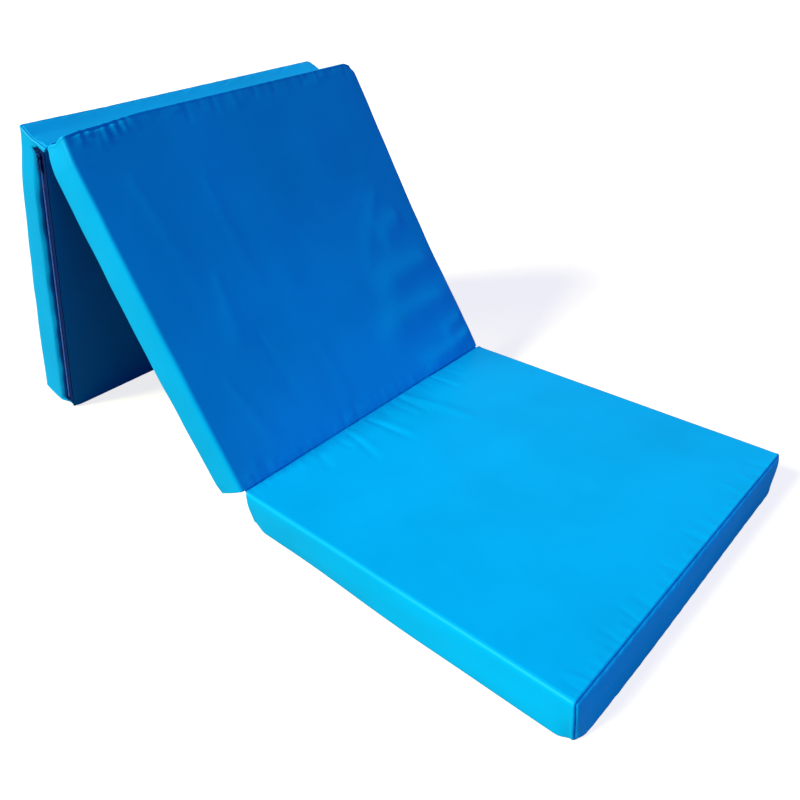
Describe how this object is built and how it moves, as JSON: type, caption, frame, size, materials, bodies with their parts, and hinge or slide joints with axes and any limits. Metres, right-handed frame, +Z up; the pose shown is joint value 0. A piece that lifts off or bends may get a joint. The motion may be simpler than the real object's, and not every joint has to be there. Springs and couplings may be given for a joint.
{
  "type": "folding gym mat",
  "caption": "Square foam exercise mat in sewn vinyl covers that folds in a zigzag on cloth hinges, with a zip in each panel's side.",
  "frame": {"origin": "on the floor, under the middle of the folded mat's bounding box", "axes": "+Z up; +X along the flat front panel, from its hinge to its free end; Y along the hinges"},
  "size_m": [1.2498, 0.6078, 0.5912],
  "materials": {
    "vinyl": "satin",
    "foam": "matte",
    "zip_tape": "matte",
    "zip_coil": "satin",
    "zip_metal": "gloss"
  },
  "bodies": {
    "front_panel": {"front_foam_core": "foam", "front_cover_wrap": "vinyl", "front_hinge_end_cap": "vinyl", "front_free_end_cap": "vinyl", "front_zip_tape_lower": "zip_tape", "front_zip_tape_upper": "zip_tape", "front_zip_chain": "zip_coil", "front_zip_stops": "zip_metal", "front_hinge_strip_fold": "vinyl"},
    "middle_panel": {"middle_foam_core": "foam", "middle_cover_wrap": "vinyl", "middle_upper_end_cap": "vinyl", "middle_lower_end_cap": "vinyl", "middle_zip_tape_lower": "zip_tape", "middle_zip_tape_upper": "zip_tape", "middle_zip_chain": "zip_coil", "middle_zip_stops": "zip_metal", "front_hinge_strip_leaf": "vinyl", "rear_hinge_strip_fold": "vinyl"},
    "rear_panel": {"rear_foam_core": "foam", "rear_cover_wrap": "vinyl", "rear_foot_end_cap": "vinyl", "rear_hinge_end_cap": "vinyl", "rear_zip_tape_lower": "zip_tape", "rear_zip_tape_upper": "zip_tape", "rear_zip_chain": "zip_coil", "rear_zip_stops": "zip_metal", "rear_hinge_strip_leaf": "vinyl"},
    "front_slider": {"front_zip_slider": "zip_metal"},
    "front_pull": {"front_zip_pull": "zip_metal"},
    "middle_slider": {"middle_zip_slider": "zip_metal"},
    "middle_pull": {"middle_zip_pull": "zip_metal"},
    "rear_slider": {"rear_zip_slider": "zip_metal"},
    "rear_pull": {"rear_zip_pull": "zip_metal"}
  },
  "joints": [
    {"name": "front_fold", "type": "hinge", "parent": "front_panel", "child": "middle_panel", "pos_m": [0.02541, 0, 0.072], "axis": [0, 1, 0], "range_deg": [-60.2, 115.8]},
    {"name": "rear_fold", "type": "hinge", "parent": "middle_panel", "child": "rear_panel", "pos_m": [-0.33748, 0, 0.55675], "axis": [0, -1, 0], "range_deg": [-128.6, 49.3]},
    {"name": "front_zip_slide", "type": "slide", "parent": "front_panel", "child": "front_slider", "axis": [1, 0, 0], "range_m": [0, 0.55], "deforming": ["front_zip_chain", "front_zip_tape_lower", "front_zip_tape_upper"]},
    {"name": "front_pull_swing", "type": "hinge", "parent": "front_slider", "child": "front_pull", "pos_m": [0.05041, 0.3026, 0.018], "axis": [0, 0, 1], "range_deg": [0, 175]},
    {"name": "middle_zip_slide", "type": "slide", "parent": "middle_panel", "child": "middle_slider", "axis": [0.497, 0, -0.8678], "range_m": [0, 0.55], "deforming": ["middle_zip_chain", "middle_zip_tape_lower", "middle_zip_tape_upper"]},
    {"name": "middle_pull_swing", "type": "hinge", "parent": "middle_slider", "child": "middle_pull", "pos_m": [-0.3077, 0.3026, 0.545], "axis": [0.8678, 0, 0.497], "range_deg": [0, 175]},
    {"name": "rear_zip_slide", "type": "slide", "parent": "rear_panel", "child": "rear_slider", "axis": [-0.3678, 0, -0.9299], "range_m": [0, 0.55], "deforming": ["rear_zip_chain", "rear_zip_tape_lower", "rear_zip_tape_upper"]},
    {"name": "rear_pull_swing", "type": "hinge", "parent": "rear_slider", "child": "rear_pull", "pos_m": [-0.36528, -0.3026, 0.54086], "axis": [-0.9299, 0, 0.3678], "range_deg": [0, 175]}
  ]
}
